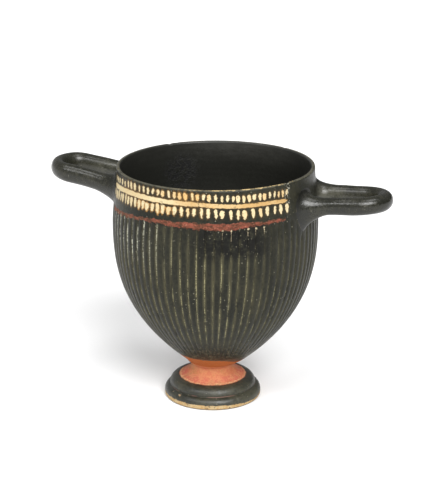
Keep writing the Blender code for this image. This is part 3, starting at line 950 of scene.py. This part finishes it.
def add_cream_paint(w, spot, colours, colour):
    """The cream line with a row of strokes above and one below; returns the colour and the amount."""
    point, angle, drop, back, _ = spot
    line, middle = line_depth(w, spot)
    seed = back * 17.0
    shared = dict(Panel_angle=angle, Drop=drop, Reach=62.0)
    upper = w.group(
        "Stroke row", point, Spacing=3.355, Drift=0.0011357, Start=0.525, Middle=middle - 4.45,
        Half_height=2.12, Half_width=1.16, Taper=0.1, Seed=seed, **shared)
    lower = w.group(
        "Stroke row", point, Spacing=3.712, Drift=-0.0018229, Start=0.31, Middle=middle + 4.9,
        Half_height=2.85, Half_width=w.ramp(abs(angle + 17.0), 24.0, 12.0, 1.28, 1.5), Taper=0.26,
        Seed=seed + 5.0, **shared)
    strokes = w.most(upper["Depth"], lower["Depth"])
    depth = w.most(strokes, line)
    flaked = w.ramp(w.noise(point, 900.0), 0.3, 0.4)
    amount = w.ramp(depth, -0.06, 0.2) * flaked
    is_upper = upper["Depth"] > lower["Depth"]
    own = w.blend(is_upper, lower["Tint"], upper["Tint"])
    clouds = w.mottle(point, 75.0, 9.0, 0.35, 0.4, 0.62)
    on_line = line > strokes
    orange = w.ramp(abs(angle - 1.0), 24.0, 9.0, 0.06, 0.65)
    orange = orange + w.ramp(angle, 30.0, 44.0, 0.0, 0.3)
    stroke_tint = w.ramp(own, 0.15, 0.75) * orange * (clouds + 0.55)
    line_tint = w.ramp(angle, 0.0, 36.0, 0.08, 0.55) + clouds * 0.22
    tint = w.blend(on_line, stroke_tint, line_tint)
    paint = w.mix(w.least(tint, 1.0), colours.cream, colours.orange_cream)
    rim = w.ramp(depth, 0.45, 0.02) * w.lerp(clouds, 0.4, 0.75)
    rim = rim * w.ramp(angle, -26.0, -44.0, 1.0, 0.35)
    paint = w.mix(rim, paint, colours.stain)
    glow = w.ramp(abs(angle + 22.0), 48.0, 22.0, 0.45, 1.5)
    around = w.ramp(depth, -1.3, 0.0) * glow * w.lerp(clouds, 0.2, 0.75)
    colour = w.mix(w.least(around, 1.0), colour, tone(colours.stain, 0.72, 0.74, 0.8))
    near_row = w.ramp(lower["Depth"], -1.0, -0.1) * w.ramp(abs(angle + 17.0), 20.0, 11.0)
    smear = near_row * w.ramp(w.noise(point, 230.0), 0.44, 0.56)
    colour = w.mix(smear * 0.85, colour, (0.72, 0.53, 0.3))
    mottled = w.ramp(w.noise(point, 1000.0), 0.38, 0.62)
    # The line turns darker and more orange right of the middle, in uneven clouds.
    darker_rightwards = on_line * w.ramp(angle, -18.0, 6.0, 0.0, 0.85) * w.lerp(clouds, 0.55, 1.0)
    mottled = w.most(mottled * 0.25, darker_rightwards)
    paint = w.mix(mottled, paint, tone(colours.orange_cream, 0.88, 0.86, 0.84))
    return w.mix(amount, colour, paint), amount


def wall_material(sizes, colours):
    """Outer wall: black slip, painted strokes, line and band, soil in the grooves, a worn lip that is grey
    on the left as a painted highlight, and a painted highlight along the lip's edge.
    """
    material, w, shader, point = new_material("painted_wall")
    place = w.group("Round the cup", point)
    drop = sizes.height * IN_MM - place["Height"]
    angle, back = place["Panel angle"], place["Back"]
    front = 1.0 - back
    spot = Spot(point, angle, drop, back, front)
    slip = w.group(
        "Gloss slip", point, Colour=colours.gloss, Worn=colours.gloss_worn, Wear=0.8,
        Roughness=0.41, Pitting=0.6)
    colour, soiled = add_groove_soil(w, spot, colours, slip["Color"])
    colour = add_dark_patch(w, spot, colours, colour)
    colour, reddened = add_red_band(w, spot, colours, colour)
    colour = add_dribbles(w, spot, colours, colour)
    colour, painted = add_cream_paint(w, spot, colours, colour)
    low = w.ramp(drop, 96.0, 112.0) * w.ramp(w.noise(point, 620.0), 0.5, 0.64)
    colour = w.mix(low * 0.55, colour, (0.45, 0.42, 0.33))
    lip = w.group(
        "Ragged band", point, Panel_angle=angle - 6.0, Drop=drop, Top=-1.0, Bottom=0.34,
        Uneven=0.4, Grain=520.0, Reach=62.0)["Depth"]
    broken = w.ramp(w.noise(point, 420.0), 0.4, 0.56, 0.25, 1.0)
    lip_wear_and_glint = w.ramp(lip, 0.0, 0.25) * front * broken
    # The lip's line: tan bare clay where it is worn on the right, and on the left a grey painted highlight.
    worn = w.mix(w.ramp(angle, -12.0, 22.0), (0.46, 0.44, 0.38), (0.8, 0.7, 0.5))
    colour = w.mix(lip_wear_and_glint * w.ramp(angle, -20.0, 30.0, 0.45, 0.9), colour, worn)
    # Painted highlight: a thin light grey line along the lip's edge, broken up by noise.
    edge = w.ramp(drop, 0.95, 0.25) * w.ramp(w.noise(point, 300.0), 0.34, 0.62, 0.25, 0.8)
    colour = w.mix(edge * (1.0 - lip_wear_and_glint), colour, (0.37, 0.36, 0.31))
    at_end = w.ramp(abs(abs(angle) - PANEL_END), 2.6, 1.0)
    at_end = at_end * w.ramp(drop, 22.0, 6.0) * front
    flecks = w.ramp(w.noise(point, 900.0, 4.0, 0.75), 0.55, 0.62)
    ends = w.mix(w.ramp(angle, -10.0, 10.0), (0.55, 0.5, 0.32), (0.8, 0.79, 0.72))
    colour = w.mix(at_end * flecks, colour, ends)
    cover = w.most(w.most(painted, reddened), w.most(soiled, lip_wear_and_glint))
    rough = slip["Roughness"] + cover * 0.3
    height = slip["Height"] + painted * 1.2
    crust = reddened * w.lerp(w.noise(point, 800.0), 0.0, 2.6)
    finish_shader(w, shader, colour, rough, height + crust, 0.00018, 0.15)
    return material


def inside_material(sizes, colours):
    """Bowl inside: darker slip with faint throwing lines, a rough, pitted patch and a painted sheen under
    the far lip.
    """
    material, w, shader, point = new_material("bowl_inside")
    slip = w.group(
        "Gloss slip", point, Colour=colours.inside, Worn=colours.gloss, Wear=0.6, Roughness=0.44,
        Pitting=0.4, Specks=0.0)
    x, y, z = w.separate(point)
    turned = abs(w.math("DEGREES", w.math("ARCTAN2", y, x)) - 86.0)
    depth = sizes.height * IN_MM - z * IN_MM
    # Painted sheen: the slip is lightened in streaks near the lip on the far side, where a soft highlight
    # falls.
    painted_inside_sheen = w.ramp(turned, 44.0, 8.0, 0.3, 1.0) * w.ramp(depth, 17.0, 2.0)
    streaks = w.ramp(w.noise(w.combine(x, y, z * 3.0), 120.0, 4.0, 0.6), 0.3, 0.65, 0.5, 1.0)
    painted_inside_sheen = painted_inside_sheen * streaks
    dark = w.mix(painted_inside_sheen, slip["Color"], (0.205, 0.203, 0.188))
    near = w.ramp(w.distance(point, PITTED_PLACE), 0.016, 0.006)
    patch = near * w.mottle(point, 300.0, 3.0, 0.4, 0.44, 0.56)
    colour = w.mix(patch, dark, tone(colours.soot, 0.6))
    rough = slip["Roughness"] + patch * 0.4
    rings = w.math("SINE", z * 1500.0 + w.noise(point, 24.0, 2.0, 0.55) * 16.0)
    height = slip["Height"] + rings * 0.1
    finish_shader(w, shader, colour, rough, height - patch * 1.5, 0.0001, 0.42)
    return material


def foot_material(colours):
    """Neck and foot: orange neck darkened with painted shade, red washed top with a pale edge, black
    mouldings whose slip is partly worn and partly lightened as painted sheen, bare resting edge with a
    painted contact shadow.
    """
    material, w, shader, point = new_material("foot_paint")
    place = w.group("Round the cup", point)
    angle, tall = place["Panel angle"], place["Height"]
    moved = w.add("ShaderNodeVectorMath", 0, {0: point, 1: (*FOOT_SHIFT, 0.0)}, operation="SUBTRACT")
    x, y, _ = w.separate(moved)
    radius = w.hypotenuse(x, y) * IN_MM
    # The foot's slip is a quarter lighter than the wall's: partly wear, partly a painted sheen.
    slip = w.group(
        "Gloss slip", point, Colour=tone(colours.gloss, 1.25), Wear=0.95, Roughness=0.44,
        Worn=tone(colours.gloss_worn, 1.25), Pitting=0.9)
    uneven = w.lerp(w.noise(point, 380.0, 4.0, 0.65), -2.0, 2.0)
    jagged = w.lerp(w.noise(point, 1200.0, 4.0, 0.75), -3.0, 3.0)
    shaken = uneven + jagged * 0.8
    clouds = w.mottle(point, 300.0, 3.5, 0.5, 0.45, 0.55)
    stain = w.mottle(point, 130.0, 8.0, 0.45, 0.5, 0.66)
    wash = w.mix(clouds, colours.foot_top, tone(colours.foot_top, 0.95, 0.78, 0.86))
    high = w.ramp(tall, 14.6, 17.6)
    wash = w.mix(high * w.lerp(stain, 0.35, 0.95), wash, tone(colours.foot_top, 0.97, 0.98, 0.72))
    aside = w.ramp(abs(angle - 18.0), 35.0, 75.0) * stain
    wash = w.mix(w.most(aside, stain * 0.65) * 0.85, wash, (0.6, 0.45, 0.28))
    # The neck's orange, darkened with painted shade.
    wash = w.mix(w.ramp(tall, 22.6, 24.2), wash, colours.neck)
    rim = w.ramp(radius + shaken * 0.5, 19.8, 20.5)
    rim = rim * (tall < 15.5)
    grains = w.ramp(jagged, -0.25, 0.45)
    wash = w.mix(rim * grains, wash, (0.84, 0.71, 0.52))
    past_ledge = w.ramp(radius + shaken * 0.45, 20.95, 21.2)
    black_foot = past_ledge * (tall < 17.0)
    border = w.ramp(angle, -30.0, -80.0, 31.6, 30.4) + w.ramp(angle, 18.0, 60.0, 0.0, -3.9)
    border = border - shaken * 0.5
    black_bowl = w.ramp(tall - border, -0.1, 0.25)
    brown = w.ramp(tall, 37.0, 31.0) * w.ramp(w.noise(point, 900.0, 3.0, 0.7), 0.5, 0.62)
    bowl_slip = w.mix(brown * 0.6, slip["Color"], (0.52, 0.36, 0.2))
    black = w.most(black_foot, black_bowl)
    colour = w.mix(black_foot, wash, slip["Color"])
    colour = w.mix(black_bowl, colour, bowl_slip)
    line = w.ramp(abs(tall - 7.5), 0.42, 0.12) * black_foot
    long_part = w.ramp(abs(angle - 26.0), 22.0, 14.0)
    line = line * w.most(long_part, w.ramp(w.noise(point, 160.0, 3.0, 0.55), 0.52, 0.6, 0.0, 0.7))
    colour = w.mix(line * 0.75, colour, (0.46, 0.33, 0.28))
    nicks = chip_mask(w, point) * black_foot
    colour = w.mix(nicks * 0.8, colour, (0.62, 0.52, 0.38))
    level = w.ramp(angle, -95.0, -25.0, 2.5, 3.2) - w.ramp(angle, 20.0, 80.0, 0.0, 1.3)
    bare = w.ramp(level + shaken * 0.42 - tall, -0.08, 0.12)
    beneath = (radius < 22.8) * (tall < 8.0)
    bare = w.most(bare, beneath)
    clay = w.mix(clouds, colours.clay, tone(colours.clay, 0.93, 0.86, 0.74))
    grime = w.specks(point, 700.0, 0.55, 0.16)
    clay = w.mix(grime * 0.6, clay, (0.3, 0.24, 0.16))
    # Painted contact shadow: a dark brown line along the bottom of the resting edge.
    contact_shadow = w.ramp(tall, 0.95, 0.35) * w.ramp(radius, 28.7, 29.3)
    clay = w.mix(contact_shadow, clay, (0.2, 0.14, 0.09))
    colour = w.mix(bare, colour, clay)
    dull = w.most(bare, 1.0 - black)
    rough = slip["Roughness"] + dull * 0.34
    height = slip["Height"] - w.most(bare, nicks) * 0.9
    finish_shader(w, shader, colour, rough, height, 0.0002, 0.55)
    return material


def chip_mask(w, point):
    """1 on the chips of the foot's edge: spheres round the places where the mesh is pushed in."""
    nearest = 9.0
    for azimuth, level, width, *_ in FOOT_CHIPS:
        turn = math.radians(azimuth)
        x = FOOT_CHIP_REACH * math.cos(turn) + FOOT_SHIFT[0]
        y = FOOT_CHIP_REACH * math.sin(turn) + FOOT_SHIFT[1]
        nearest = w.least(w.distance(point, (x, y, level * MM)) / (width * MM), nearest)
    rough_edge = nearest + w.lerp(w.noise(point, 900.0, 3.0, 0.7), -0.7, 0.7)
    return w.ramp(rough_edge, 0.45, 0.2)


def handle_material(colours):
    """Handles: black slip, worn a little browner, with a painted sheen on the faces inside the loops,
    painted shade at the roots and a pale line in the lower crease at the wall, part soil and part painted
    reflection.
    """
    material, w, shader, point = new_material("handle_gloss")
    slip = w.group(
        "Gloss slip", point, Colour=colours.gloss, Worn=colours.gloss_worn, Wear=0.7,
        Roughness=0.27, Pitting=0.7, Specks=0.2)
    seam, inner, root = (w.attribute(name) for name in ("seam", "inner", "root"))
    clouds = w.mottle(point, 120.0, 7.0, 0.45, 0.38, 0.6)
    # Painted sheen: the faces that look into the loop are lightened in clouds.
    painted_loop_sheen = w.ramp(inner, 0.3, 0.95) * w.lerp(clouds, 0.2, 0.7)
    colour = w.mix(painted_loop_sheen, slip["Color"], (0.34, 0.335, 0.29))
    # Painted shade: the slip is darkened towards the roots, where the handles meet the wall.
    colour = w.mix(root * 0.95, colour, tone(colours.gloss, 0.45))
    # A pale line in the flares' lower crease at the wall: part soil, part painted reflection of the floor.
    broken = w.ramp(w.noise(point, 260.0, 4.0, 0.65), 0.46, 0.6)
    crease = w.ramp(seam, 0.55, 0.95) * broken
    colour = w.mix(crease * 0.35, colour, (0.52, 0.47, 0.36))
    rough = slip["Roughness"] + (root * 0.12 + painted_loop_sheen * 0.1)
    finish_shader(w, shader, colour, rough, slip["Height"], 0.00014, 0.42)
    return material


# Operators


def claim(piece):
    """Ties a finished piece to the frame: it rides on the one body and stands for the cup's solid."""
    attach(piece, "root")
    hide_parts("skyphos")


class SKYPHOS_OT_body(bpy.types.Operator):
    """Make the thrown bowl, its ribs and its foot"""

    bl_idname = "skyphos.body"
    bl_label = "Bowl and foot"

    def execute(self, context):
        sizes, colours = context.scene.skyphos_sizes, context.scene.skyphos_colours
        materials = [inside_material(sizes, colours), wall_material(sizes, colours), foot_material(colours)]
        claim(build_body(sizes, materials))
        return {"FINISHED"}


class SKYPHOS_OT_handles(bpy.types.Operator):
    """Make the two looped handles"""

    bl_idname = "skyphos.handles"
    bl_label = "Handles"

    def execute(self, context):
        sizes, colours = context.scene.skyphos_sizes, context.scene.skyphos_colours
        material = handle_material(colours)
        for name, handle in HANDLES.items():
            claim(build_handle(name, handle, sizes, material))
        return {"FINISHED"}


def studio_sky():
    """A dim room under a pale ceiling, brighter on the left of the picture than on the right."""
    world = bpy.data.worlds.new("studio")
    world.use_nodes = True
    w = Wiring(world.node_tree)
    x, y, z = w.separate(w.add("ShaderNodeTexCoord", "Generated", {}))
    left = math.radians(CAMERA_AZIMUTH - 90.0)
    aside = x * math.cos(left) + y * math.sin(left)
    low = w.ramp(aside, -0.6, 0.9, SKY_RIGHT, SKY_LEFT)
    sky = world.node_tree.nodes["Background"]
    sky.inputs["Color"].default_value = (1.0, 1.0, 1.0, 1.0)
    w.put(sky.inputs["Strength"], w.ramp(z, 0.1, 0.65, low, SKY_TOP))
    return world


def soft_light(name, azimuth, elevation, width, strength):
    """A broad, distant lamp at an azimuth and elevation, as wide as an angle, all in degrees."""
    lamp = bpy.data.lights.new(name, "SUN")
    lamp.angle = math.radians(width)
    lamp.energy = strength
    placed = new_object(name, lamp)
    turn, rise = math.radians(azimuth), math.radians(elevation)
    away = Vector((math.cos(turn) * math.cos(rise), math.sin(turn) * math.cos(rise), math.sin(rise)))
    placed.location = away
    placed.rotation_euler = away.to_track_quat("Z", "Y").to_euler()


LAMPS = (
    # name, azimuth, elevation and width in degrees, strength
    ("key", -53.0, 38.0, 31.0, 3.2),
    ("left", -96.0, 43.0, 12.0, 0.40),
    ("left", -112.0, 42.0, 12.0, 0.28),
    ("left", -128.0, 39.0, 12.0, 0.36),
    ("top_right", -15.0, 70.0, 18.0, 0.55),
    ("top_left", -155.0, 66.0, 18.0, 0.45),
)
SKY_TOP = 0.34
SKY_LEFT = 0.66
SKY_RIGHT = 0.04
CAMERA_AZIMUTH = -72.0
CAMERA_DISTANCE = 0.9461
CAMERA_ABOVE_LIP = 0.2505
CAMERA_PITCH = 0.31253
CAMERA_LENS = 115.2
CAMERA_SENSOR = 36.0
FLOOR_HALF = 9.0
PAPER_WHITE = (0.96, 0.96, 0.96, 1.0)


class SKYPHOS_OT_stage(bpy.types.Operator):
    """Make the floor, the lights and the camera"""

    bl_idname = "skyphos.stage"
    bl_label = "Stage"

    def execute(self, context):
        scene = context.scene
        mesh = bpy.data.meshes.new("floor")
        corners = [(x * FLOOR_HALF, y * FLOOR_HALF, 0.0) for x, y in ((-1, -1), (1, -1), (1, 1), (-1, 1))]
        mesh.from_pydata(corners, [], [(0, 1, 2, 3)])
        floor = new_object("floor", mesh)
        paper, w, shader, _ = new_material("white_paper")
        w.fill(shader.inputs, dict(Base_Color=PAPER_WHITE, Roughness=0.9, Specular_IOR_Level=0.1))
        mesh.materials.append(paper)
        scene.world = studio_sky()
        for lamp in LAMPS:
            soft_light(*lamp)
        scene.view_settings.view_transform = "Standard"
        camera = bpy.data.cameras.new("camera")
        camera.sensor_width = CAMERA_SENSOR
        camera.lens = CAMERA_LENS
        placed = new_object("camera", camera)
        azimuth = math.radians(CAMERA_AZIMUTH)
        height = scene.skyphos_sizes.height + CAMERA_ABOVE_LIP
        placed.location = (CAMERA_DISTANCE * math.cos(azimuth), CAMERA_DISTANCE * math.sin(azimuth), height)
        placed.rotation_euler = (0.5 * math.pi - CAMERA_PITCH, 0.0, azimuth + 0.5 * math.pi)
        scene.camera = placed
        return {"FINISHED"}


class SKYPHOS_PT_sidebar(bpy.types.Panel):
    """Lists the cup's sizes, colours and makers"""

    bl_idname = "SKYPHOS_PT_sidebar"
    bl_label = "Skyphos"
    bl_space_type = "VIEW_3D"
    bl_region_type = "UI"
    bl_category = "Skyphos"

    def draw(self, context):
        column = self.layout.column(align=True)
        for group in (context.scene.skyphos_sizes, context.scene.skyphos_colours):
            for key in group.__annotations__:
                column.prop(group, key)
            column.separator()
        for maker in OPERATORS:
            column.operator(maker.bl_idname)


OPERATORS = (SKYPHOS_OT_body, SKYPHOS_OT_handles, SKYPHOS_OT_stage)
CLASSES = (CupSizes, CupColours, *OPERATORS, SKYPHOS_PT_sidebar)


def register():
    for cls in CLASSES:
        bpy.utils.register_class(cls)
    bpy.types.Scene.skyphos_sizes = PointerProperty(type=CupSizes)
    bpy.types.Scene.skyphos_colours = PointerProperty(type=CupColours)


def unregister():
    del bpy.types.Scene.skyphos_colours
    del bpy.types.Scene.skyphos_sizes
    for cls in reversed(CLASSES):
        bpy.utils.unregister_class(cls)


def main():
    """Registers the add-on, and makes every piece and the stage."""
    register()
    bpy.ops.skyphos.body()
    bpy.ops.skyphos.handles()
    bpy.ops.skyphos.stage()


if __name__ == "__main__":
    main()
